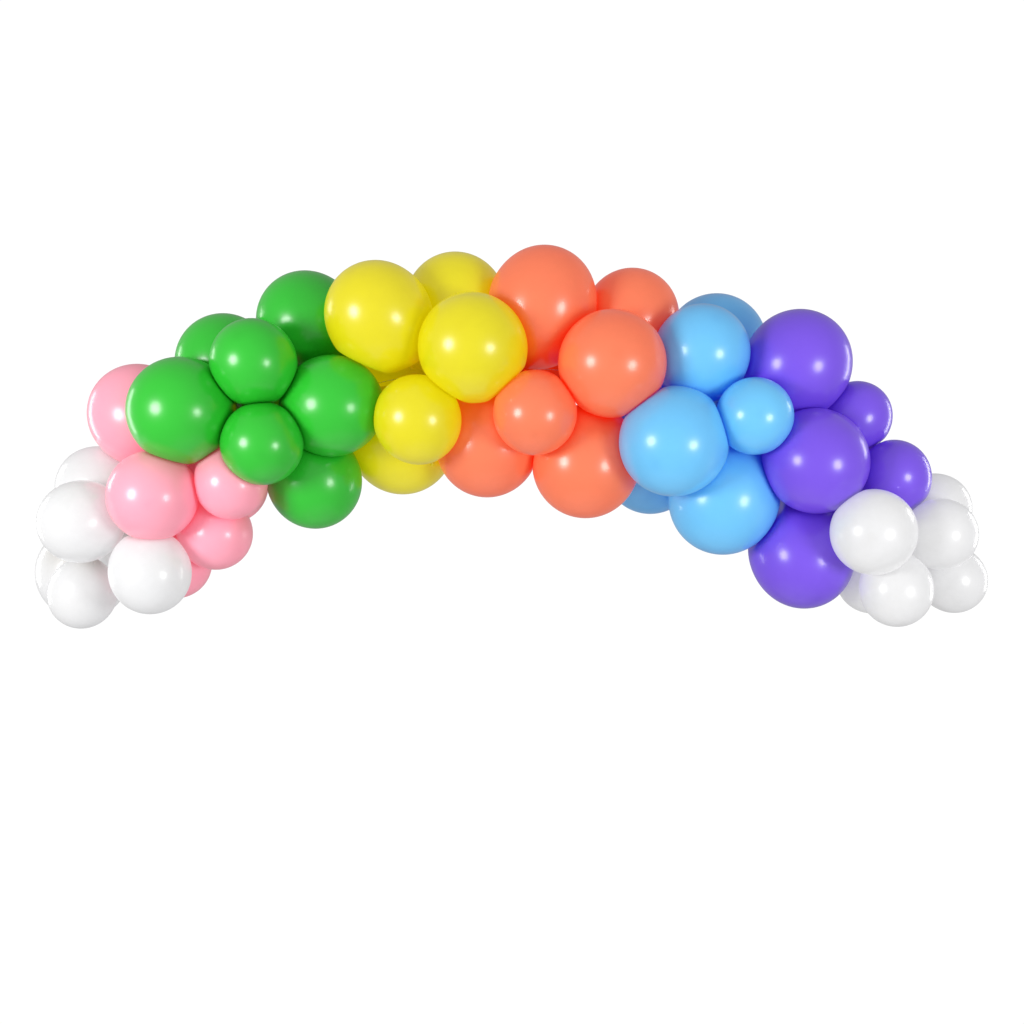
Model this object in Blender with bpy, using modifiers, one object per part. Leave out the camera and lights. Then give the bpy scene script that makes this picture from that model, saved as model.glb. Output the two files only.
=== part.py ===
"""Rainbow balloon garland: latex balloons tied and stuck around a punched plastic strip.

The strip is bent into a low arch in the XZ plane. +X runs along the garland, +Z is up and the
front looks along -Y. The origin is the strip's middle hole, at the crown, where the garland hangs.
Units are metres.
"""

from functools import lru_cache
from math import acos, asin, cos, pi, radians, sin, sqrt

import bmesh
import bpy
from mathutils import Quaternion, Vector

# Diameters to which each size of balloon is blown when it is full
BIG = 0.26
MIDDLE = 0.21
SMALL = 0.17

# Shape of one blown balloon
PEAR = 0.18               # how much the neck side is drawn out, as a share of the radius
PEAR_SHARPNESS = 3.0      # how quickly that drawing out fades away from the neck
NECK_RADIUS = 0.010       # half the width of the neck, beside the knot
NECK_LENGTH = 0.023       # neck and tail, from the body to the strip's hole
FREE_NECK_LENGTH = 0.018  # neck and knot of a balloon that is only stuck on

# How a stuck balloon's knot looks for a hollow: tilts from its aim, and turns around it, in degrees
NECK_TILTS = (15, 30, 45, 60)
NECK_TURNS = range(0, 360, 30)

# The punched strip
STRIP_BEND_RADIUS = 1.488
STRIP_WIDTH = 0.016
STRIP_THICKNESS = 0.0008
HOLE_PITCH = 0.030
HANGING_HOLE = 0.008      # diameter of the crown hole and of the hole at each end
END_TAB = 0.030           # bare strip past each end's last hole

# How the pieces lie against each other
PRESSED = 0.06            # how far two stuck balloons are squeezed together, as a share of their radii
CLEARANCE = 0.0003        # gap between pieces that touch
BARELY_FACED = 0.01       # walls that a direction meets more flatly than this don't limit it

# Fineness of the solids
SIDES = 12
SMALL_SIDES = 10
RINGS = 7
HOLES_PER_BEND = 2        # strip holes in each straight facet of the bent strip
HANGING_HOLE_SIDES = 10

COLOURS = {
    "left_white": (0.86, 0.86, 0.88),
    "pink": (0.93, 0.35, 0.52),
    "green": (0.045, 0.45, 0.055),
    "yellow": (0.90, 0.75, 0.02),
    "coral": (0.95, 0.20, 0.12),
    "blue": (0.14, 0.49, 0.91),
    "purple": (0.17, 0.08, 0.72),
    "right_white": (0.86, 0.86, 0.88),
}

# Each balloon: its full size, how far it is blown in hundredths, what it is fixed to (a hole of
# the strip, counted from the crown towards +X, or the balloon it is stuck on), and the way from
# there to its middle: degrees in the picture plane, from +X towards +Z, then degrees to the front.
GARLAND = {
    "left_white": [
        (MIDDLE, 99, -34, 164, -27),
        (MIDDLE, 95, -35, 199, 40),
        (BIG, 91, "left_white_balloon_6", 213, -26),
        (SMALL, 100, "left_white_balloon_3", 318, 70),
        (MIDDLE, 93, "pink_balloon_2", 267, -8),
        (MIDDLE, 95, -36, 267, -65),
    ],
    "pink": [
        (BIG, 96, "green_balloon_1", 178, -51),
        (MIDDLE, 103, -32, 311, 76),
        (SMALL, 103, "pink_balloon_7", 0, 78),
        (SMALL, 106, "pink_balloon_5", 32, 32),
        (SMALL, 107, "left_white_balloon_5", 45, -80),
        (BIG, 91, -33, 65, -70),
        (MIDDLE, 93, -30, 346, -17),
    ],
    "green": [
        (BIG, 98, "pink_balloon_2", 71, 5),
        (BIG, 94, "green_balloon_3", 171, -60),
        (MIDDLE, 97, "green_balloon_1", 33, 6),
        (BIG, 96, "green_balloon_2", 29, -9),
        (MIDDLE, 93, "green_balloon_6", 211, 22),
        (BIG, 94, -19, 2, 42),
        (BIG, 90, "green_balloon_6", 252, -29),
        (BIG, 102, -22, 157, -68),
    ],
    "yellow": [
        (BIG, 96, "yellow_balloon_2", 193, 35),
        (BIG, 97, -4, 96, 3),
        (BIG, 97, "yellow_balloon_2", 289, 54),
        (MIDDLE, 100, "green_balloon_6", 351, 12),
        (BIG, 103, -12, 299, -26),
        (BIG, 102, -14, 204, -72),
        (BIG, 97, -7, 133, -52),
    ],
    "coral": [
        (BIG, 98, "yellow_balloon_2", 0, 21),
        (BIG, 91, 9, 76, 3),
        (BIG, 98, "blue_balloon_3", 127, 0),
        (MIDDLE, 94, "coral_balloon_6", 137, 36),
        (BIG, 98, "yellow_balloon_5", 356, 26),
        (BIG, 101, "blue_balloon_3", 194, -31),
        (BIG, 102, -4, 313, -67),
        (BIG, 106, 6, 118, -55),
    ],
    "blue": [
        (BIG, 102, "blue_balloon_7", 31, -11),
        (BIG, 89, 15, 74, 51),
        (BIG, 99, "blue_balloon_4", 198, -2),
        (SMALL, 107, "purple_balloon_3", 146, 16),
        (BIG, 103, "blue_balloon_6", 332, 38),
        (BIG, 93, "coral_balloon_6", 0, -42),
        (BIG, 102, 10, 350, -75),
        (BIG, 93, 18, 290, -65),
    ],
    "purple": [
        (BIG, 100, "purple_balloon_2", 139, 9),
        (SMALL, 102, "purple_balloon_3", 45, -31),
        (BIG, 96, 24, 308, 57),
        (SMALL, 104, 36, 108, 33),
        (BIG, 95, "right_white_balloon_6", 165, 17),
        (BIG, 100, 24, 49, -56),
        (BIG, 98, 31, 352, -80),
    ],
    "right_white": [
        (SMALL, 102, 35, 0, -10),
        (MIDDLE, 96, "right_white_balloon_4", 117, 23),
        (SMALL, 101, 38, 353, 77),
        (SMALL, 102, "right_white_balloon_6", 309, 79),
        (SMALL, 96, "right_white_balloon_7", 312, 58),
        (SMALL, 106, "right_white_balloon_7", 205, 33),
        (MIDDLE, 95, 38, 297, -64),
    ],
}

# Stuck balloons whose longer side shows in front: which way their necks point, as above, and how
# much they are drawn out, as a share of the radius
LONG_BALLOONS = {
    "yellow_balloon_1": (302, -35, 0.31),
    "yellow_balloon_3": (266, -68, 0.28),
    "yellow_balloon_4": (284, -46, 0.11),
    "coral_balloon_1": (266, -7, 0.42),
    "purple_balloon_5": (100, -39, 0.40),
}

ROWS = {
    f"{colour}_balloon_{number}": (colour, *row)
    for colour, rows in GARLAND.items()
    for number, row in enumerate(rows, 1)
}
LAST_HOLE = max(abs(row[3]) for row in ROWS.values() if not isinstance(row[3], str))

# How far the strip's straight facets cut inside its true bend
FACET_SAG = STRIP_BEND_RADIUS * (1 - cos(HOLES_PER_BEND * HOLE_PITCH / STRIP_BEND_RADIUS / 2))


def hole_turn(hole):
    """Angle of a strip hole around the centre of the strip's bend, from the crown."""
    return hole * HOLE_PITCH / STRIP_BEND_RADIUS


def strip_place(turn):
    """Point on the strip's middle line."""
    return Vector((sin(turn), 0, cos(turn) - 1)) * STRIP_BEND_RADIUS


def picture_way(picture_angle, lean):
    """Unit vector from an angle in the picture plane and a lean to the front, in degrees."""
    angle, lean = radians(picture_angle), radians(lean)
    return Vector((cos(lean) * cos(angle), -sin(lean), cos(lean) * sin(angle)))


def radius_of(name):
    _, size, blown, *_ = ROWS[name]
    return size * blown / 200


def pear_of(name):
    return LONG_BALLOONS[name][2] if name in LONG_BALLOONS else PEAR


@lru_cache(maxsize=None)
def middle_of(name):
    """Middle of a balloon, reached from what it is fixed to."""
    _, _, _, fixing, picture_angle, lean = ROWS[name]
    if isinstance(fixing, str):
        start = middle_of(fixing)
        reach = (1 - PRESSED) * (radius_of(fixing) + radius_of(name))
    else:
        start = strip_place(hole_turn(fixing))
        reach = (1 + PEAR) * radius_of(name) + NECK_LENGTH
    return start + reach * picture_way(picture_angle, lean)


def nearest_turn(point):
    """Angle around the bend of the strip's point that lies nearest to a point."""
    away = point + Vector((0, 0, STRIP_BEND_RADIUS))
    last = hole_turn(LAST_HOLE)
    return max(-last, min(last, asin(away.x / sqrt(away.x ** 2 + away.z ** 2))))


def strip_wall(middle):
    """Flat limit that keeps a balloon off the strip: its direction and distance."""
    turn = nearest_turn(middle)
    along = Vector((cos(turn), 0, -sin(turn)))
    outwards = Vector((sin(turn), 0, cos(turn)))
    away = strip_place(turn) - middle
    past = -away.dot(along)
    away += along * max(-END_TAB, min(END_TAB, past))
    way = away.normalized()
    half = abs(way.dot(outwards)) * STRIP_THICKNESS / 2 + abs(way.y) * STRIP_WIDTH / 2
    return way, away.length - half - FACET_SAG - CLEARANCE


def neighbour_walls(name):
    """Flat limits where a balloon is pressed against its neighbours."""
    middle, radius = middle_of(name), radius_of(name)
    walls = []
    for other in ROWS:
        if other == name:
            continue
        away = middle_of(other) - middle
        distance = away.length
        if distance > 2 * (radius + radius_of(other)):
            continue
        flat = (distance ** 2 + radius ** 2 - radius_of(other) ** 2) / (2 * distance)
        walls.append((away / distance, flat - CLEARANCE / 2))
    return walls


def room(way, walls):
    """Distance from the balloon's middle to the nearest wall in one direction."""
    faced = ((limit, way.dot(face)) for face, limit in walls)
    return min((limit / facing for limit, facing in faced if facing > BARELY_FACED), default=BIG)


def free_neck_way(name, walls):
    """Direction of a stuck balloon's knot: its own aim or the strip, turned into the nearest hollow."""
    middle = middle_of(name)
    if name in LONG_BALLOONS:
        aim = picture_way(*LONG_BALLOONS[name][:2])
    else:
        aim = (strip_place(nearest_turn(middle)) - middle).normalized()
    side = aim.orthogonal().normalized()
    wanted = (1 + pear_of(name)) * radius_of(name) + FREE_NECK_LENGTH
    choices = [aim]
    for tilt in NECK_TILTS:
        for turn in NECK_TURNS:
            axis = Quaternion(aim, radians(turn)) @ side
            choices.append(Quaternion(axis, radians(tilt)) @ aim)
    for way in choices:
        if room(way, walls) >= wanted:
            return way
    return max(choices, key=lambda way: room(way, walls))


def skin(way, neck_way, radius, pear):
    """Distance of the blown skin from the middle, before anything presses on it."""
    towards_neck = (1 + max(-1.0, min(1.0, way.dot(neck_way)))) / 2
    return radius * (1 + pear * towards_neck ** PEAR_SHARPNESS)


def balloon_mesh(name):
    """A sphere drawn out to its neck and pressed flat where it meets the others."""
    middle, radius, pear, fixing = middle_of(name), radius_of(name), pear_of(name), ROWS[name][3]
    walls = neighbour_walls(name)
    if isinstance(fixing, str):
        neck_way = free_neck_way(name, walls)
        neck_end = (1 + pear) * radius + FREE_NECK_LENGTH
    else:
        to_hole = strip_place(hole_turn(fixing)) - middle
        neck_way, neck_end = to_hole.normalized(), to_hole.length
    walls.append(strip_wall(middle))
    sides = SIDES if ROWS[name][1] >= MIDDLE else SMALL_SIDES
    turn = Vector((0, 0, 1)).rotation_difference(neck_way)
    neck_angle = NECK_RADIUS / ((1 + pear) * radius)
    ring_step = (pi - neck_angle) / RINGS
    shape = bmesh.new()
    bmesh.ops.create_uvsphere(shape, u_segments=sides, v_segments=RINGS + 1, radius=1)
    for vertex in shape.verts:
        ring = round(acos(max(-1.0, min(1.0, vertex.co.z))) / pi * (RINGS + 1))
        if ring == 0:
            way, reach = neck_way, neck_end
        else:
            angle = pi if ring == RINGS + 1 else neck_angle + (ring - 1) * ring_step
            around = Vector((vertex.co.x, vertex.co.y, 0))
            if around.length > 0:
                around.normalize()
            way = turn @ (around * sin(angle) + Vector((0, 0, cos(angle))))
            reach = skin(way, neck_way, radius, pear)
        vertex.co = middle + way * min(reach, room(way, walls))
    mesh = bpy.data.meshes.new(name)
    shape.to_mesh(mesh)
    shape.free()
    mesh.shade_smooth()
    return mesh


def latex(colour):
    """Opaque, satin latex in one of the garland's colours."""
    material = bpy.data.materials.new(f"{colour}_latex")
    material.use_nodes = True
    surface = material.node_tree.nodes["Principled BSDF"]
    surface.inputs["Base Color"].default_value = (*COLOURS[colour], 1)
    surface.inputs["Roughness"].default_value = 0.25
    surface.inputs["Metallic"].default_value = 0.0
    return material


def clear_plastic():
    """Clear, slightly milky plastic of the strip."""
    material = bpy.data.materials.new("clear_strip_plastic")
    material.use_nodes = True
    surface = material.node_tree.nodes["Principled BSDF"]
    surface.inputs["Base Color"].default_value = (0.85, 0.87, 0.88, 1)
    surface.inputs["Roughness"].default_value = 0.3
    surface.inputs["Metallic"].default_value = 0.0
    return material


def make_balloons(parts):
    for colour in GARLAND:
        material = latex(colour)
        for name, row in ROWS.items():
            if row[0] == colour:
                mesh = balloon_mesh(name)
                mesh.materials.append(material)
                parts.objects.link(bpy.data.objects.new(name, mesh))


def hole_cutter(hole, cutters):
    """Pin that punches one hanging hole through the strip."""
    shape = bmesh.new()
    bmesh.ops.create_cone(
        shape, cap_ends=True, segments=HANGING_HOLE_SIDES,
        radius1=HANGING_HOLE / 2, radius2=HANGING_HOLE / 2, depth=10 * STRIP_THICKNESS,
    )
    mesh = bpy.data.meshes.new(f"hanging_hole_{hole}")
    shape.to_mesh(mesh)
    shape.free()
    cutter = bpy.data.objects.new(mesh.name, mesh)
    cutter.location = strip_place(hole_turn(hole))
    cutter.rotation_euler.y = hole_turn(hole)
    cutter.hide_render = True
    cutter.display_type = "WIRE"
    cutters.objects.link(cutter)
    return cutter


def make_strip(parts, cutters):
    """A flat ribbon bent along its arc, ending in a straight tab past the last hole each way."""
    facets = round(2 * LAST_HOLE / HOLES_PER_BEND)
    shape = bmesh.new()
    bmesh.ops.create_grid(shape, x_segments=facets + 2, y_segments=1, size=1)
    for vertex in shape.verts:
        stop = round((vertex.co.x + 1) / 2 * (facets + 2)) - 1
        tab = END_TAB * (-1 if stop < 0 else 1 if stop > facets else 0)
        turn = hole_turn((min(max(stop, 0), facets) / facets * 2 - 1) * LAST_HOLE)
        along = Vector((cos(turn), 0, -sin(turn)))
        across = Vector((0, STRIP_WIDTH / 2 if vertex.co.y > 0 else -STRIP_WIDTH / 2, 0))
        vertex.co = strip_place(turn) + along * tab + across
    mesh = bpy.data.meshes.new("balloon_strip")
    shape.to_mesh(mesh)
    shape.free()
    mesh.materials.append(clear_plastic())
    strip = bpy.data.objects.new("balloon_strip", mesh)
    parts.objects.link(strip)
    wall = strip.modifiers.new("Thickness", "SOLIDIFY")
    wall.thickness = STRIP_THICKNESS
    wall.offset = 0
    for hole in (-LAST_HOLE, 0, LAST_HOLE):
        punch = strip.modifiers.new(f"Hanging hole {hole}", "BOOLEAN")
        punch.operation = "DIFFERENCE"
        punch.solver = "EXACT"
        punch.object = hole_cutter(hole, cutters)


def collection(name):
    made = bpy.data.collections.new(name)
    bpy.context.scene.collection.children.link(made)
    return made


def build():
    for item in list(bpy.data.objects):
        bpy.data.objects.remove(item, do_unlink=True)
    parts = collection("balloon_garland")
    cutters = collection("cutters")
    make_balloons(parts)
    make_strip(parts, cutters)


build()
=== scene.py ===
from functools import lru_cache
from math import asin, cos, pi, radians, sin, sqrt

import bpy
import numpy as np
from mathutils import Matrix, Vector


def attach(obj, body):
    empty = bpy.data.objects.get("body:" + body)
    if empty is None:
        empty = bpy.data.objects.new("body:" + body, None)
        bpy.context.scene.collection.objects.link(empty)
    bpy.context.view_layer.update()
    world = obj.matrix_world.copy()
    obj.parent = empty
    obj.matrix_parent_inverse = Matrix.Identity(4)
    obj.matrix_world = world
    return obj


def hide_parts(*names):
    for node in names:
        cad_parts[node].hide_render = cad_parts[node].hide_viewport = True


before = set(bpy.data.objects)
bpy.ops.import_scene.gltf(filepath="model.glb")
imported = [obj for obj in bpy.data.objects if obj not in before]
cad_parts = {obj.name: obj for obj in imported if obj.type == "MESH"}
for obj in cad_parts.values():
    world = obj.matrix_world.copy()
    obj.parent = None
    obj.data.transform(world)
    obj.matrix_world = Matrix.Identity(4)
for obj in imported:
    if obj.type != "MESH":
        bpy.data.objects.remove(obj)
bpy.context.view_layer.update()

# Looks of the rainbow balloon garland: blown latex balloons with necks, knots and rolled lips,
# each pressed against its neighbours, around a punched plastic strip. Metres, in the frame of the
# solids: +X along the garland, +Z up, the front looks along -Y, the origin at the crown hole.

# Diameters to which each size of balloon is blown when it is full
BIG = 0.26
MIDDLE = 0.21
SMALL = 0.17

# Shape of one blown balloon
PEAR = 0.18               # how much the neck side is drawn out, as a share of the radius
PEAR_SHARPNESS = 3.0      # how quickly that drawing out fades away from the neck
NECK_LENGTH = 0.023       # neck and tail, from the body to the strip's hole
FREE_NECK_LENGTH = 0.018  # neck and knot of a balloon that is only stuck on
THROAT = 0.0075           # half the width of the body where the neck starts
PLEATS = 17               # gathers around the neck
PLEAT_DEPTH = 0.016       # depth of those gathers, as a share of the distance from the middle
KNOT_LUMP = 0.14          # how far the knot is from round
GATHER_START = 0.42       # angle from the neck where the rings get closer
GATHER_RINGS = 9
GATHER_SPREAD = 0.19      # angle over which the pleats fade away from the neck
NECK_FLARE = 0.003        # how much further the skin is drawn out right at the neck
FREE_TAIL_REACH = 0.04    # straight line that a free tail is laid along

# The punched strip
STRIP_BEND_RADIUS = 1.488
STRIP_WIDTH = 0.016
STRIP_THICKNESS = 0.0008
HOLE_PITCH = 0.030
HANGING_HOLE = 0.008
TIE_HOLE = 0.005
TIE_HOLE_OFFSET = 0.004   # from the strip's middle line to each row of tie holes
END_TAB = 0.030

# How the pieces lie against each other
PRESSED = 0.06
CLEARANCE = 0.0003
PRESSED_EDGE = 0.006      # how softly the skin rounds into the flat where it is pressed
FAR = 9.0                 # reach where no wall is in the way
LEAST_FACING = 0.01       # a wall less square on than this is never reached

# Faces around each size of balloon
FACES_AROUND = {BIG: 112, MIDDLE: 96, SMALL: 84}

# The photograph's camera: its place, and its lens for a 36 mm wide sensor
CAMERA_PLACE = (0.00507, -3.65, -0.365)
CAMERA_LENS = 50.625

# The plain floor below, and how much of its radius the fade at the rim takes
FLOOR_RADIUS = 1.7
FLOOR_HEIGHT = -2.6
FLOOR_FADE = 0.45
FLOOR_CORNERS = 96

# The lamps: the point they face, then each one's place, width and power, in metres and watts
LAMPS_AIM = (0, 0, -0.15)
LEFT_SOFTBOX = ((-2.75, -2.6, -0.10), 1.25, 79)
RIGHT_SOFTBOX = ((2.6, -3.1, -0.65), 1.1, 58)
SIDE_STRIP_DISTANCE = 3.4
SIDE_STRIP_WIDTH = 0.4
SIDE_STRIP_HEIGHT = 2.2
SIDE_STRIP_POWER = 20

# The room: its light at the sides, how much that rises to the front and falls to the back, and the
# white ground as the camera sees it
ROOM_LIGHT = 0.47
ROOM_LIGHT_CHANGE = 0.13
GROUND_WHITE = 1.04

# Each balloon: its full size, how far it is blown in hundredths, what it is fixed to (a hole of
# the strip, counted from the crown towards +X, or the balloon it is stuck on), and the way from
# there to its middle: degrees in the picture plane, from +X towards +Z, then degrees to the front.
GARLAND = {
    "left_white": [
        (MIDDLE, 99, -34, 164, -27),
        (MIDDLE, 95, -35, 199, 40),
        (BIG, 91, "left_white_balloon_6", 213, -26),
        (SMALL, 100, "left_white_balloon_3", 318, 70),
        (MIDDLE, 93, "pink_balloon_2", 267, -8),
        (MIDDLE, 95, -36, 267, -65),
    ],
    "pink": [
        (BIG, 96, "green_balloon_1", 178, -51),
        (MIDDLE, 103, -32, 311, 76),
        (SMALL, 103, "pink_balloon_7", 0, 78),
        (SMALL, 106, "pink_balloon_5", 32, 32),
        (SMALL, 107, "left_white_balloon_5", 45, -80),
        (BIG, 91, -33, 65, -70),
        (MIDDLE, 93, -30, 346, -17),
    ],
    "green": [
        (BIG, 98, "pink_balloon_2", 71, 5),
        (BIG, 94, "green_balloon_3", 171, -60),
        (MIDDLE, 97, "green_balloon_1", 33, 6),
        (BIG, 96, "green_balloon_2", 29, -9),
        (MIDDLE, 93, "green_balloon_6", 211, 22),
        (BIG, 94, -19, 2, 42),
        (BIG, 90, "green_balloon_6", 252, -29),
        (BIG, 102, -22, 157, -68),
    ],
    "yellow": [
        (BIG, 96, "yellow_balloon_2", 193, 35),
        (BIG, 97, -4, 96, 3),
        (BIG, 97, "yellow_balloon_2", 289, 54),
        (MIDDLE, 100, "green_balloon_6", 351, 12),
        (BIG, 103, -12, 299, -26),
        (BIG, 102, -14, 204, -72),
        (BIG, 97, -7, 133, -52),
    ],
    "coral": [
        (BIG, 98, "yellow_balloon_2", 0, 21),
        (BIG, 91, 9, 76, 3),
        (BIG, 98, "blue_balloon_3", 127, 0),
        (MIDDLE, 94, "coral_balloon_6", 137, 36),
        (BIG, 98, "yellow_balloon_5", 356, 26),
        (BIG, 101, "blue_balloon_3", 194, -31),
        (BIG, 102, -4, 313, -67),
        (BIG, 106, 6, 118, -55),
    ],
    "blue": [
        (BIG, 102, "blue_balloon_7", 31, -11),
        (BIG, 89, 15, 74, 51),
        (BIG, 99, "blue_balloon_4", 198, -2),
        (SMALL, 107, "purple_balloon_3", 146, 16),
        (BIG, 103, "blue_balloon_6", 332, 38),
        (BIG, 93, "coral_balloon_6", 0, -42),
        (BIG, 102, 10, 350, -75),
        (BIG, 93, 18, 290, -65),
    ],
    "purple": [
        (BIG, 100, "purple_balloon_2", 139, 9),
        (SMALL, 102, "purple_balloon_3", 45, -31),
        (BIG, 96, 24, 308, 57),
        (SMALL, 104, 36, 108, 33),
        (BIG, 95, "right_white_balloon_6", 165, 17),
        (BIG, 100, 24, 49, -56),
        (BIG, 98, 31, 352, -80),
    ],
    "right_white": [
        (SMALL, 102, 35, 0, -10),
        (MIDDLE, 96, "right_white_balloon_4", 117, 23),
        (SMALL, 101, 38, 353, 77),
        (SMALL, 102, "right_white_balloon_6", 309, 79),
        (SMALL, 96, "right_white_balloon_7", 312, 58),
        (SMALL, 106, "right_white_balloon_7", 205, 33),
        (MIDDLE, 95, 38, 297, -64),
    ],
}

# Stuck balloons whose longer side shows in front: which way their necks point, as above, and how
# much they are drawn out, as a share of the radius
LONG_BALLOONS = {
    "yellow_balloon_1": (302, -35, 0.31),
    "yellow_balloon_3": (266, -68, 0.28),
    "yellow_balloon_4": (284, -46, 0.11),
    "coral_balloon_1": (266, -7, 0.42),
    "purple_balloon_5": (100, -39, 0.40),
}

ROWS = {
    f"{colour}_balloon_{number}": (colour, *row)
    for colour, rows in GARLAND.items()
    for number, row in enumerate(rows, 1)
}
LAST_HOLE = max(abs(row[3]) for row in ROWS.values() if not isinstance(row[3], str))

# How slack the skin is, from 0 for blown tight to 1 for the neck: around the crown's thick spot and
# around the neck, with the angles over which each fades
CROWN_SLACK = 0.12
CROWN_SLACK_SPREAD = 0.13
NECK_SLACK_SPREAD = 0.5

# Latex where it is blown thin, where it is left thick at the neck and knot, and the painted glow
# that lifts its shade: emitted colour standing in for light through the latex and between balloons
LATEX = {
    "white": ((0.50, 0.50, 0.505), (0.46, 0.44, 0.40), (0.345, 0.345, 0.35)),
    "pink": ((0.76, 0.36, 0.46), (0.72, 0.20, 0.31), (0.29, 0.03, 0.04)),
    "green": ((0.025, 0.505, 0.028), (0.009, 0.28, 0.012), (0.0, 0.01, 0.0)),
    "yellow": ((0.50, 0.46, 0.006), (0.57, 0.41, 0.003), (0.32, 0.26, 0.0)),
    "coral": ((0.54, 0.20, 0.095), (0.52, 0.09, 0.025), (0.45, 0.008, 0.0)),
    "blue": ((0.154, 0.55, 0.80), (0.060, 0.30, 0.70), (0.0, 0.01, 0.15)),
    "purple": ((0.178, 0.082, 0.72), (0.075, 0.028, 0.48), (0.012, 0.0, 0.06)),
}


def unit(vector):
    return vector / np.linalg.norm(vector)


def hole_turn(hole):
    """Angle of a strip hole around the centre of the strip's bend, from the crown."""
    return hole * HOLE_PITCH / STRIP_BEND_RADIUS


def strip_place(turn):
    """Point on the strip's middle line."""
    return np.array((sin(turn), 0, cos(turn) - 1)) * STRIP_BEND_RADIUS


def strip_outwards(turn):
    return np.array((sin(turn), 0, cos(turn)))


def picture_way(picture_angle, lean):
    """Unit vector from an angle in the picture plane and a lean to the front, in degrees."""
    angle, lean = radians(picture_angle), radians(lean)
    return np.array((cos(lean) * cos(angle), -sin(lean), cos(lean) * sin(angle)))


def radius_of(name):
    _, size, blown, *_ = ROWS[name]
    return size * blown / 200


def pear_of(name):
    return LONG_BALLOONS[name][2] if name in LONG_BALLOONS else PEAR


@lru_cache(maxsize=None)
def middle_of(name):
    """Middle of a balloon, reached from what it is fixed to."""
    _, _, _, fixing, picture_angle, lean = ROWS[name]
    if isinstance(fixing, str):
        start = middle_of(fixing)
        reach = (1 - PRESSED) * (radius_of(fixing) + radius_of(name))
    else:
        start = strip_place(hole_turn(fixing))
        reach = (1 + PEAR) * radius_of(name) + NECK_LENGTH
    return start + reach * picture_way(picture_angle, lean)


def nearest_turn(point):
    """Angle around the bend of the strip's point that lies nearest to a point."""
    away = point + np.array((0, 0, STRIP_BEND_RADIUS))
    last = hole_turn(LAST_HOLE)
    return max(-last, min(last, asin(away[0] / sqrt(away[0] ** 2 + away[2] ** 2))))


def strip_wall(middle):
    """Flat limit that keeps a balloon off the strip: its direction and distance."""
    turn = nearest_turn(middle)
    along = np.array((cos(turn), 0, -sin(turn)))
    away = strip_place(turn) - middle
    past = -away @ along
    away = away + along * max(-END_TAB, min(END_TAB, past))
    way = unit(away)
    half = abs(way @ strip_outwards(turn)) * STRIP_THICKNESS / 2 + abs(way[1]) * STRIP_WIDTH / 2
    return way, np.linalg.norm(away) - half - 2 * CLEARANCE


def neighbour_walls(name):
    """Flat limits where a balloon is pressed against its neighbours."""
    middle, radius = middle_of(name), radius_of(name)
    walls = []
    for other in ROWS:
        if other == name:
            continue
        away = middle_of(other) - middle
        distance = np.linalg.norm(away)
        if distance > 2 * (radius + radius_of(other)):
            continue
        flat = (distance ** 2 + radius ** 2 - radius_of(other) ** 2) / (2 * distance)
        walls.append((away / distance, flat - CLEARANCE / 2))
    return walls


def wall_reach(ways, face, limit):
    """Distance from the balloon's middle to one wall along each way."""
    facing = ways @ face
    return np.where(facing > LEAST_FACING, limit / np.maximum(facing, LEAST_FACING), FAR)


def room(ways, walls):
    """Distance from the balloon's middle to the nearest wall along each way."""
    nearest = np.full(len(ways), FAR)
    for wall in walls:
        nearest = np.minimum(nearest, wall_reach(ways, *wall))
    return nearest


def pressed(reach, ways, walls):
    """The blown skin after the walls press on it, rounded where it leaves each flat."""
    for wall in walls:
        limit = wall_reach(ways, *wall)
        near = np.maximum(PRESSED_EDGE - np.abs(reach - limit), 0) / PRESSED_EDGE
        reach = np.minimum(reach, limit) - near ** 2 * PRESSED_EDGE / 4
    return reach


def turned(vector, axis, angle):
    """A vector turned around a unit axis."""
    return (vector * cos(angle) + np.cross(axis, vector) * sin(angle)
            + axis * (axis @ vector) * (1 - cos(angle)))


def sideways(way):
    """Two unit vectors square to a way and to each other."""
    across = unit(np.cross(way, (0, 0, 1) if abs(way[2]) < 0.9 else (1, 0, 0)))
    return across, np.cross(way, across)


def free_neck_way(name, walls):
    """Direction of a stuck balloon's knot: its own aim or the strip, turned into a hollow."""
    middle = middle_of(name)
    if name in LONG_BALLOONS:
        aim = picture_way(*LONG_BALLOONS[name][:2])
    else:
        aim = unit(strip_place(nearest_turn(middle)) - middle)
    side = sideways(aim)[0]
    choices = [aim]
    for tilt in range(15, 75, 15):
        for turn in range(0, 360, 30):
            choices.append(turned(aim, turned(side, aim, radians(turn)), radians(tilt)))
    found = room(np.array(choices), walls)
    enough = np.flatnonzero(found >= (1 + pear_of(name)) * radius_of(name) + FREE_NECK_LENGTH)
    return choices[enough[0] if len(enough) else int(np.argmax(found))]


def tie_hole(name):
    """The tie hole that a tied balloon's tail goes through, and the side it comes from."""
    hole = ROWS[name][3]
    turn = hole_turn(hole)
    leaning = middle_of(name)[1] < 0
    for other, row in ROWS.items():
        if other == name:
            break
        if row[3] == hole and (middle_of(other)[1] < 0) == leaning:
            leaning = not leaning
    place = strip_place(turn) + np.array((0, TIE_HOLE_OFFSET * (-1 if leaning else 1), 0))
    outwards = strip_outwards(turn)
    return place, outwards if (middle_of(name) - place) @ outwards > 0 else -outwards


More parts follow.
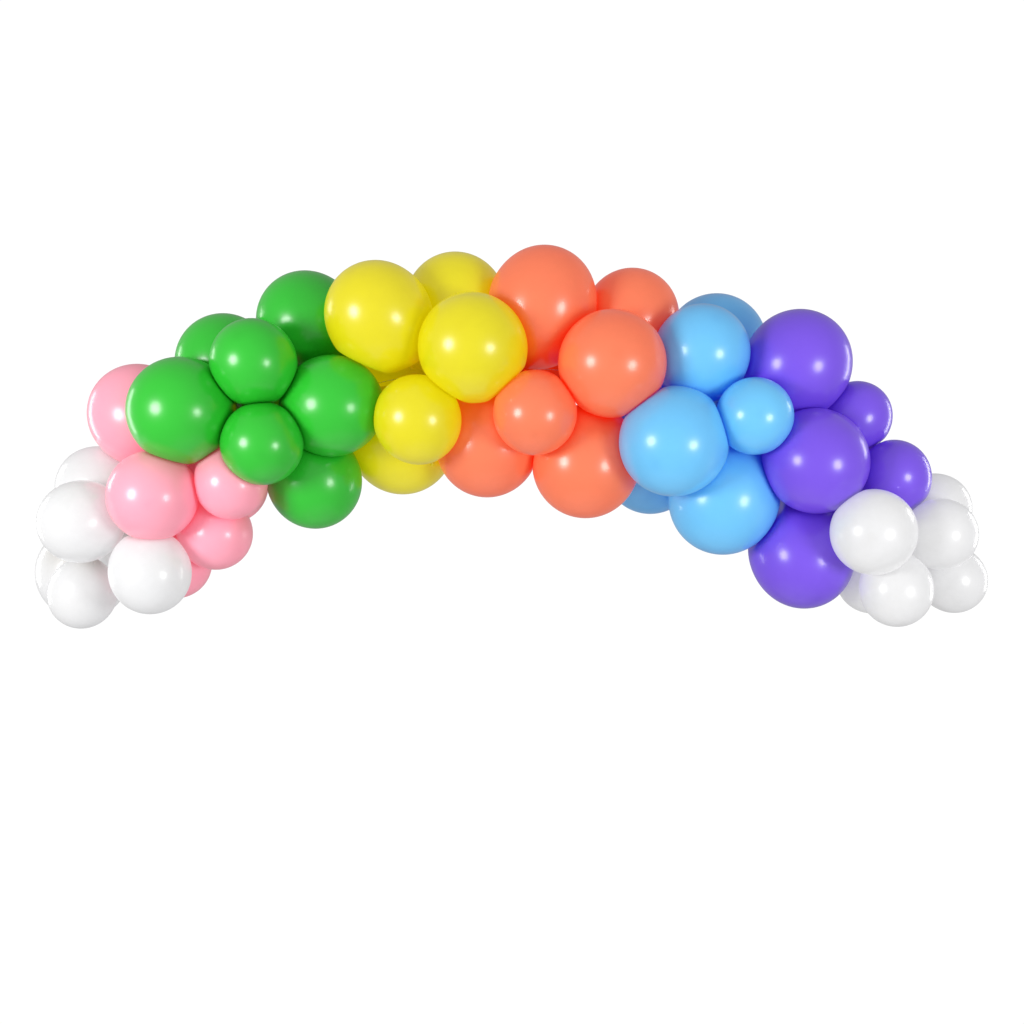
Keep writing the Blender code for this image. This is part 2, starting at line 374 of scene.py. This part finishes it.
# Neck, knot and rolled lip: distance along the tail, then half its width. A free tail is measured
# from where the body ends, a tied one from the hole of the strip that it goes through.
FREE_TAIL = (
    (0.0040, 0.0044), (0.0062, 0.0046), (0.0078, 0.0066), (0.0100, 0.0076), (0.0120, 0.0062),
    (0.0132, 0.0036), (0.0155, 0.0042), (0.0180, 0.0056), (0.0196, 0.0063), (0.0204, 0.0059),
    (0.0199, 0.0050), (0.0172, 0.0036), (0.0150, 0.0012),
)
TIED_TAIL = (
    (-0.0135, 0.0042), (-0.0115, 0.0048), (-0.0097, 0.0070), (-0.0070, 0.0078), (-0.0048, 0.0060),
    (-0.0028, 0.0022), (0.0016, 0.0021), (0.0040, 0.0036), (0.0078, 0.0050), (0.0094, 0.0057),
    (0.0102, 0.0053), (0.0097, 0.0045), (0.0070, 0.0032), (0.0046, 0.0011),
)
KNOT_WIDTH = 0.0064       # rings of the tail wider than this are the knot


def tail_path(start, start_way, end, end_way):
    """Points of a curve that leaves one way and arrives another, then goes straight on."""
    pull = np.linalg.norm(end - start) * 0.4
    corners = start, start + start_way * pull, end - end_way * pull, end
    gone = np.linspace(0, 1, 25)[:, None]
    left = 1 - gone
    shares = left ** 3, 3 * gone * left ** 2, 3 * gone ** 2 * left, gone ** 3
    curve = sum(share * corner for share, corner in zip(shares, corners))
    return np.vstack((curve, end + end_way * 0.02))


def tail_rings(path, marks, first_across, around):
    """Rings of the neck and tail along a path, each turned on from the one before."""
    steps = np.linalg.norm(np.diff(path, axis=0), axis=1)
    lengths = np.concatenate(((0,), np.cumsum(steps)))
    ways = np.diff(path, axis=0) / steps[:, None]
    across = first_across
    rings = []
    angles = np.arange(around) / around * 2 * pi
    for distance, width in marks:
        index = min(len(steps) - 1, int(np.searchsorted(lengths, distance, side="right")) - 1)
        way = ways[index]
        centre = path[index] + way * (distance - lengths[index])
        across = unit(across - way * (across @ way))
        beside = np.cross(way, across)
        widths = width * (1 + (KNOT_LUMP * np.cos(2 * angles) if width > KNOT_WIDTH else 0))
        rings.append(centre + (np.outer(widths * np.cos(angles), across)
                               + np.outer(widths * np.sin(angles), beside)))
    return rings, centre


def balloon_piece(name):
    """One blown balloon with its pleated neck, knot and rolled lip, as a closed skin."""
    _, size, _, fixing, *_ = ROWS[name]
    middle, radius, pear = middle_of(name), radius_of(name), pear_of(name)
    walls = neighbour_walls(name)
    body_end = (1 + pear) * radius
    tied = not isinstance(fixing, str)
    if tied:
        neck_way = unit(strip_place(hole_turn(fixing)) - middle)
    else:
        neck_way = free_neck_way(name, walls)
    walls.append(strip_wall(middle))
    across, beside = sideways(neck_way)

    around = FACES_AROUND[size]
    angles = np.arange(around) / around * 2 * pi
    round_way = np.outer(np.cos(angles), across) + np.outer(np.sin(angles), beside)
    polar = np.concatenate((
        np.linspace(pi, GATHER_START, around // 2, endpoint=False)[1:],
        np.linspace(GATHER_START, asin(THROAT / body_end), GATHER_RINGS),
    ))
    rings, slack = [], []
    for angle in polar:
        ways = neck_way * cos(angle) + round_way * sin(angle)
        towards_neck = (1 + cos(angle)) / 2
        gathered = np.exp(-(angle / GATHER_SPREAD) ** 2)
        reach = radius * (1 + pear * towards_neck ** PEAR_SHARPNESS) + NECK_FLARE * gathered
        reach = reach * (1 + PLEAT_DEPTH * gathered * np.cos(PLEATS * angles))
        rings.append(middle + ways * pressed(reach, ways, walls)[:, None])
        slack.append(np.exp(-(angle / NECK_SLACK_SPREAD) ** 2)
                     + CROWN_SLACK * np.exp(-((pi - angle) / CROWN_SLACK_SPREAD) ** 2))

    if tied:
        hole, side = tie_hole(name)
        path = tail_path(middle + neck_way * body_end, neck_way, hole, -side)
        at_hole = np.linalg.norm(np.diff(path[:-1], axis=0), axis=1).sum()
        marks = [(at_hole + distance, width) for distance, width in TIED_TAIL]
    else:
        start = middle + neck_way * body_end
        path = np.array((start, start + neck_way * FREE_TAIL_REACH))
        marks = FREE_TAIL
    tail, tail_middle = tail_rings(path, marks, across, around)
    if not tied:
        for ring in tail:
            away = ring - middle
            reach = np.linalg.norm(away, axis=1)
            ways = away / reach[:, None]
            ring[:] = middle + ways * np.minimum(reach, room(ways, walls))[:, None]
    rings += tail
    slack += [1.0] * len(tail)

    crown = -neck_way[None]
    crown_point = middle + crown * pressed(np.array((radius,)), crown, walls)[:, None]
    points = np.vstack((crown_point, *rings, tail_middle[None]))
    ring_starts = 1 + np.arange(len(rings)) * around
    here, there = np.arange(around), (np.arange(around) + 1) % around
    crown_faces = np.stack((np.zeros(around, int), 1 + there, 1 + here), axis=1)
    quads = np.concatenate([
        np.stack((ring + here, ring + there, ring + around + there, ring + around + here), axis=1)
        for ring in ring_starts[:-1]
    ])
    end_faces = np.stack(
        (ring_starts[-1] + here, ring_starts[-1] + there, np.full(around, len(points) - 1)), axis=1)
    mesh = bpy.data.meshes.new(f"{name}_skin")
    faces = crown_faces.tolist() + quads.tolist() + end_faces.tolist()
    mesh.from_pydata(points.tolist(), [], faces)
    mesh.shade_smooth()
    slack_values = np.concatenate(((CROWN_SLACK,), np.repeat(slack, around), (1.0,)))
    mesh.attributes.new("slack", "FLOAT", "POINT").data.foreach_set("value", slack_values)
    piece = bpy.data.objects.new(f"{name}_skin", mesh)
    bpy.context.collection.objects.link(piece)
    return piece


class Wire:
    """A socket in a node tree. Sums on wires add the Math nodes that work them out."""

    def __init__(self, tree, socket=None):
        self.tree = tree
        self.socket = socket

    def node(self, kind, settings=None, sockets=None, output=0):
        """Any node: its type, then its settings, then the values or wires of its sockets."""
        made = self.tree.nodes.new(kind)
        for key, value in (settings or {}).items():
            setattr(made, key, value)
        for key, value in (sockets or {}).items():
            if isinstance(value, Wire):
                self.tree.links.new(value.socket, made.inputs[key])
            else:
                made.inputs[key].default_value = value
        return Wire(self.tree, made.outputs[output])

    def also(self, output):
        """Another output of the same node."""
        return Wire(self.tree, self.socket.node.outputs[output])

    def maths(self, operation, *values):
        return self.node("ShaderNodeMath", {"operation": operation}, dict(enumerate(values)))

    def __add__(self, other):
        return self.maths("ADD", self, other)

    __radd__ = __add__

    def __sub__(self, other):
        return self.maths("SUBTRACT", self, other)

    def __rsub__(self, other):
        return self.maths("SUBTRACT", other, self)

    def __mul__(self, other):
        return self.maths("MULTIPLY", self, other)

    __rmul__ = __mul__

    def __truediv__(self, other):
        return self.maths("DIVIDE", self, other)

    def between(self, low, high):
        """Kept within two limits."""
        return self.maths("MAXIMUM", self.maths("MINIMUM", self, high), low)


def new_material(name, constants):
    """A material whose surface has its constant values set on the shader's own sockets."""
    material = bpy.data.materials.new(name)
    material.use_nodes = True
    surface = material.node_tree.nodes["Principled BSDF"]
    for key, value in constants.items():
        surface.inputs[key].default_value = value
    return material, surface, Wire(material.node_tree)


def noise(wire, place, scale, detail, roughness=0.5):
    return wire.node("ShaderNodeTexNoise", {}, {
        "Vector": place, "Scale": scale, "Detail": detail, "Roughness": roughness})


def mixed(wire, share, first, second):
    """Colour between two others."""
    return wire.node(
        "ShaderNodeMix", {"data_type": "RGBA"},
        {"Factor": share, 6: first if isinstance(first, Wire) else (*first, 1), 7: (*second, 1)}, 2)


def latex(colour):
    """Satin latex: pale where it is blown thin, deep where the neck leaves it slack, with a painted
    glow that lifts its shade.
    """
    thin, thick, painted_glow = LATEX[colour]
    material, surface, wire = new_material(f"{colour}_latex", {
        "IOR": 1.45, "Coat Roughness": 0.20, "Coat IOR": 1.45, "Emission Strength": 1.0,
    })
    place = wire.node("ShaderNodeTexCoord", output="Object")
    slack = wire.node("ShaderNodeAttribute", {"attribute_name": "slack"}, output="Fac")
    cloud = noise(wire, place, 5.0, 2.0)
    mottle = noise(wire, place, 42.0, 4.0, 0.6)
    grain = noise(wire, place, 260.0, 2.0)
    depth = (slack * 0.85 + (cloud - 0.5) * 0.32 + (mottle - 0.5) * 0.10 + 0.05).between(0.0, 1.0)
    skin = mixed(wire, depth, thin, thick)
    tree = material.node_tree
    tree.links.new(skin.socket, surface.inputs["Base Color"])
    # Painted glow: emitted colour that lifts the shade everywhere, dimmer where the latex is thick
    # at the neck
    glow_dimmed = (slack + mottle * 0.3).between(0.0, 1.0)
    painted_glow_colour = mixed(wire, glow_dimmed, painted_glow, tuple(value * 0.4 for value in painted_glow))
    tree.links.new(painted_glow_colour.socket, surface.inputs["Emission Color"])
    rough = (0.30 + (mottle - 0.5) * 0.05 + slack * 0.14).between(0.2, 0.6)
    tree.links.new(rough.socket, surface.inputs["Roughness"])
    gloss = (0.42 - slack * 0.3 + (cloud - 0.5) * 0.4).between(0.0, 1.0)
    tree.links.new(gloss.socket, surface.inputs["Coat Weight"])
    height = grain * 0.3 + mottle * 0.6
    bump = wire.node("ShaderNodeBump", {}, {"Strength": 0.04, "Distance": 0.0004, "Height": height})
    tree.links.new(bump.socket, surface.inputs["Normal"])
    return material


def strip_plastic():
    """Clear, slightly milky plastic with fine scuffs from being pulled through."""
    material, surface, wire = new_material("clear_strip_plastic", {"IOR": 1.49})
    place = wire.node("ShaderNodeTexCoord", output="Object")
    haze = noise(wire, place, 120.0, 4.0)
    stretched = wire.node("ShaderNodeMapping", {}, {"Vector": place, "Scale": (8.0, 900.0, 60.0)})
    scuff = noise(wire, stretched, 1.0, 3.0)
    tree = material.node_tree
    milky = mixed(wire, haze.between(0.0, 1.0), (0.80, 0.83, 0.85), (0.92, 0.93, 0.94))
    tree.links.new(milky.socket, surface.inputs["Base Color"])
    tree.links.new((0.22 + scuff * 0.3).socket, surface.inputs["Roughness"])
    tree.links.new((0.22 + haze * 0.3).socket, surface.inputs["Alpha"])
    bump = wire.node("ShaderNodeBump", {}, {"Strength": 0.2, "Distance": 0.0002, "Height": scuff})
    tree.links.new(bump.socket, surface.inputs["Normal"])
    return material


def punched_plate(name, plates):
    """Flat plate with round holes: each hole is ringed by faces out to its own rectangle."""
    points, faces = [], []
    for centre_y, hole, half_width, edge_stops in plates:
        half = HOLE_PITCH / 2
        side = [(half, stop) for stop in edge_stops]
        top = [(half * share, half_width) for share in (2 / 3, 1 / 3, 0, -1 / 3, -2 / 3)]
        far_side = [(-x, y) for x, y in reversed(side)]
        rim = side + top + far_side + [(x, -half_width) for x, _ in reversed(top)]
        count = len(rim)
        start = len(points)
        step = 2 * pi / count
        begin = step * (1 - len(edge_stops)) / 2
        for index, (x, y) in enumerate(rim):
            angle = begin + index * step
            points.append((x, centre_y + y, 0))
            points.append((hole / 2 * cos(angle), centre_y + hole / 2 * sin(angle), 0))
        for index in range(count):
            here, there = start + 2 * index, start + 2 * ((index + 1) % count)
            faces.append((here, there, there + 1, here + 1))
    mesh = bpy.data.meshes.new(name)
    mesh.from_pydata(points, [], faces)
    plate = bpy.data.objects.new(name, mesh)
    bpy.context.collection.objects.link(plate)
    return plate


def strip_piece(material):
    """The punched strip: plates repeated along a line, merged, bent to the arch and thickened."""
    quarter = STRIP_WIDTH / 4
    tie_plate = punched_plate("tie_plate", [
        (side * TIE_HOLE_OFFSET, TIE_HOLE, quarter, (-quarter, 0, quarter)) for side in (-1, 1)])
    hang_plate = punched_plate("hang_plate", [
        (0, HANGING_HOLE, 2 * quarter, (-2 * quarter, -quarter, 0, quarter, 2 * quarter))])
    end_mesh = bpy.data.meshes.new("end_plate")
    ends = [(x, y * quarter, 0) for y in (-2, -1, 0, 1, 2) for x in (-HOLE_PITCH / 2, 0)]
    end_mesh.from_pydata(ends, [], [(2 * k, 2 * k + 1, 2 * k + 3, 2 * k + 2) for k in range(4)])
    end_plate = bpy.data.objects.new("end_plate", end_mesh)
    bpy.context.collection.objects.link(end_plate)

    tree = bpy.data.node_groups.new("punched_strip", "GeometryNodeTree")
    inputs = {
        "Holes each way": ("NodeSocketInt", LAST_HOLE),
        "Hole pitch": ("NodeSocketFloat", HOLE_PITCH),
        "Bend radius": ("NodeSocketFloat", STRIP_BEND_RADIUS),
        "Tie plate": ("NodeSocketObject", tie_plate),
        "Hanging plate": ("NodeSocketObject", hang_plate),
        "End plate": ("NodeSocketObject", end_plate),
        "Plastic": ("NodeSocketMaterial", material),
    }
    for label, (kind, _) in inputs.items():
        tree.interface.new_socket(label, in_out="INPUT", socket_type=kind)
    tree.interface.new_socket("Strip", in_out="OUTPUT", socket_type="NodeSocketGeometry")
    given = Wire(tree).node("NodeGroupInput")
    holes, pitch, bend = (given.also(k) for k in ("Holes each way", "Hole pitch", "Bend radius"))
    index = given.node("GeometryNodeInputIndex")
    count = holes * 2 + 3
    first = given.node("ShaderNodeCombineXYZ", {}, {"X": (holes + 1) * pitch * -1})
    step = given.node("ShaderNodeCombineXYZ", {}, {"X": pitch})
    line = given.node("GeometryNodeMeshLine", {}, {
        "Count": count, "Start Location": first, "Offset": step})
    from_middle = given.maths("ABSOLUTE", index - (holes + 1))
    at_end = given.maths("COMPARE", from_middle, holes + 1, 0.1)
    at_hang = given.maths("MAXIMUM", given.maths("COMPARE", from_middle, holes, 0.1),
                          given.maths("COMPARE", from_middle, 0, 0.1))
    flip = given.node("ShaderNodeCombineXYZ", {}, {"Z": given.maths("COMPARE", index, 0, 0.1) * pi})
    joined = tree.nodes.new("GeometryNodeJoinGeometry")
    for label, chosen in (("End plate", at_end), ("Hanging plate", at_hang),
                          ("Tie plate", 1 - given.maths("MAXIMUM", at_end, at_hang))):
        shape = given.node("GeometryNodeObjectInfo", {}, {"Object": given.also(label)}, "Geometry")
        repeated = given.node("GeometryNodeInstanceOnPoints", {}, {
            "Points": line, "Selection": chosen, "Instance": shape, "Rotation": flip})
        tree.links.new(repeated.socket, joined.inputs[0])
    rows = Wire(tree, joined.outputs[0])
    real = given.node("GeometryNodeRealizeInstances", {}, {"Geometry": rows})
    whole = given.node("GeometryNodeMergeByDistance", {}, {"Geometry": real, "Distance": 0.0002})
    position = given.node("GeometryNodeInputPosition")
    apart = given.node("ShaderNodeSeparateXYZ", {}, {"Vector": position})
    flat_x, flat_y = apart.also("X"), apart.also("Y")
    turn = (flat_x / bend).between(-hole_turn(LAST_HOLE), hole_turn(LAST_HOLE))
    spare = flat_x - turn * bend
    turn_sin, turn_cos = given.maths("SINE", turn), given.maths("COSINE", turn)
    bent = given.node("ShaderNodeCombineXYZ", {}, {
        "X": turn_sin * bend + turn_cos * spare, "Y": flat_y,
        "Z": turn_cos * bend - bend - turn_sin * spare})
    shaped = given.node("GeometryNodeSetPosition", {}, {"Geometry": whole, "Position": bent})
    dressed = given.node("GeometryNodeSetMaterial", {}, {
        "Geometry": shaped, "Material": given.also("Plastic")})
    out = tree.nodes.new("NodeGroupOutput")
    tree.links.new(dressed.socket, out.inputs["Strip"])

    maker = bpy.data.objects.new("strip_maker", bpy.data.meshes.new("strip_maker"))
    bpy.context.collection.objects.link(maker)
    repeat = maker.modifiers.new("Punched strip", "NODES")
    repeat.node_group = tree
    for item in tree.interface.items_tree:
        if item.in_out == "INPUT":
            repeat[item.identifier] = inputs[item.name][1]
    wall = maker.modifiers.new("Thickness", "SOLIDIFY")
    wall.thickness = STRIP_THICKNESS
    wall.offset = 0
    seen = maker.evaluated_get(bpy.context.evaluated_depsgraph_get())
    mesh = bpy.data.meshes.new_from_object(seen)
    mesh.name = "punched_strip"
    for spent in (maker, tie_plate, hang_plate, end_plate):
        bpy.data.objects.remove(spent, do_unlink=True)
    piece = bpy.data.objects.new("punched_strip", mesh)
    bpy.context.collection.objects.link(piece)
    return piece


def make_garland():
    materials = {colour: latex(colour) for colour in LATEX}
    for name, row in ROWS.items():
        colour = row[0].replace("left_", "").replace("right_", "")
        piece = balloon_piece(name)
        piece.data.materials.append(materials[colour])
        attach(piece, "root")
        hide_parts(name)
    strip = strip_piece(strip_plastic())
    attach(strip, "root")
    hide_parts("balloon_strip")


def studio_floor():
    """Plain pale floor, well below the hanging garland, that fades out at its rim."""
    mesh = bpy.data.meshes.new("studio_floor")
    angles = np.arange(FLOOR_CORNERS) / FLOOR_CORNERS * 2 * pi
    rim = np.stack((FLOOR_RADIUS * np.cos(angles), FLOOR_RADIUS * np.sin(angles),
                    np.full(FLOOR_CORNERS, FLOOR_HEIGHT)), axis=1)
    mesh.from_pydata(rim.tolist(), [], [tuple(range(FLOOR_CORNERS))])
    floor = bpy.data.objects.new("studio_floor", mesh)
    bpy.context.collection.objects.link(floor)
    material, surface, wire = new_material("pale_floor", {})
    place = wire.node("ShaderNodeTexCoord", output="Object")
    flat = wire.node("ShaderNodeVectorMath", {"operation": "MULTIPLY"}, {0: place, 1: (1, 1, 0)})
    out_from_middle = wire.node("ShaderNodeVectorMath", {"operation": "LENGTH"}, {0: flat}, "Value")
    sweep = noise(wire, place, 1.5, 3.0)
    tree = material.node_tree
    tone = mixed(wire, sweep, (0.86, 0.86, 0.86), (0.90, 0.90, 0.90))
    tree.links.new(tone.socket, surface.inputs["Base Color"])
    tree.links.new((0.6 + sweep * 0.2).socket, surface.inputs["Roughness"])
    fade = ((FLOOR_RADIUS - out_from_middle) / (FLOOR_FADE * FLOOR_RADIUS)).between(0.0, 1.0)
    tree.links.new(fade.socket, surface.inputs["Alpha"])
    mesh.materials.append(material)


def round_lamp(name, place, width, power):
    """Round softbox that faces the garland's middle."""
    lamp = bpy.data.lights.new(name, "AREA")
    lamp.shape = "DISK"
    lamp.size = width
    lamp.energy = power
    holder = bpy.data.objects.new(name, lamp)
    holder.location = place
    aim = Vector(LAMPS_AIM) - holder.location
    holder.rotation_euler = aim.to_track_quat("-Z", "Y").to_euler()
    bpy.context.collection.objects.link(holder)
    return holder


def studio_light():
    """Two round softboxes in front, two dim strips at the sides, and a room, dimmer behind."""
    round_lamp("left_softbox", *LEFT_SOFTBOX)
    round_lamp("right_softbox", *RIGHT_SOFTBOX)
    for side in (-1, 1):
        place = (side * SIDE_STRIP_DISTANCE, 1.4, -0.1)
        strip = round_lamp(f"side_strip_{side + 1}", place, SIDE_STRIP_WIDTH, SIDE_STRIP_POWER)
        strip.data.shape = "RECTANGLE"
        strip.data.size_y = SIDE_STRIP_HEIGHT
    world = bpy.data.worlds.new("white_room")
    bpy.context.scene.world = world
    world.use_nodes = True
    tree = world.node_tree
    tree.nodes.clear()
    wire = Wire(tree)
    seen = wire.node("ShaderNodeLightPath", output="Is Camera Ray")
    looking = wire.node("ShaderNodeTexCoord", output="Generated")
    apart = wire.node("ShaderNodeSeparateXYZ", {}, {"Vector": looking})
    room_light = ROOM_LIGHT - apart.also("Y") * ROOM_LIGHT_CHANGE
    strength = room_light + seen * (GROUND_WHITE - room_light)
    air = wire.node("ShaderNodeBackground", {}, {"Color": (1, 1, 1, 1), "Strength": strength})
    out = tree.nodes.new("ShaderNodeOutputWorld")
    tree.links.new(air.socket, out.inputs["Surface"])


def photograph_camera():
    camera = bpy.data.cameras.new("photograph_camera")
    camera.sensor_width = 36
    camera.lens = CAMERA_LENS
    camera.clip_end = 50
    holder = bpy.data.objects.new("photograph_camera", camera)
    holder.location = CAMERA_PLACE
    holder.rotation_euler = (pi / 2, 0, 0)
    bpy.context.collection.objects.link(holder)
    bpy.context.scene.camera = holder
    bpy.context.scene.view_settings.view_transform = "Standard"


make_garland()
studio_floor()
studio_light()
photograph_camera()
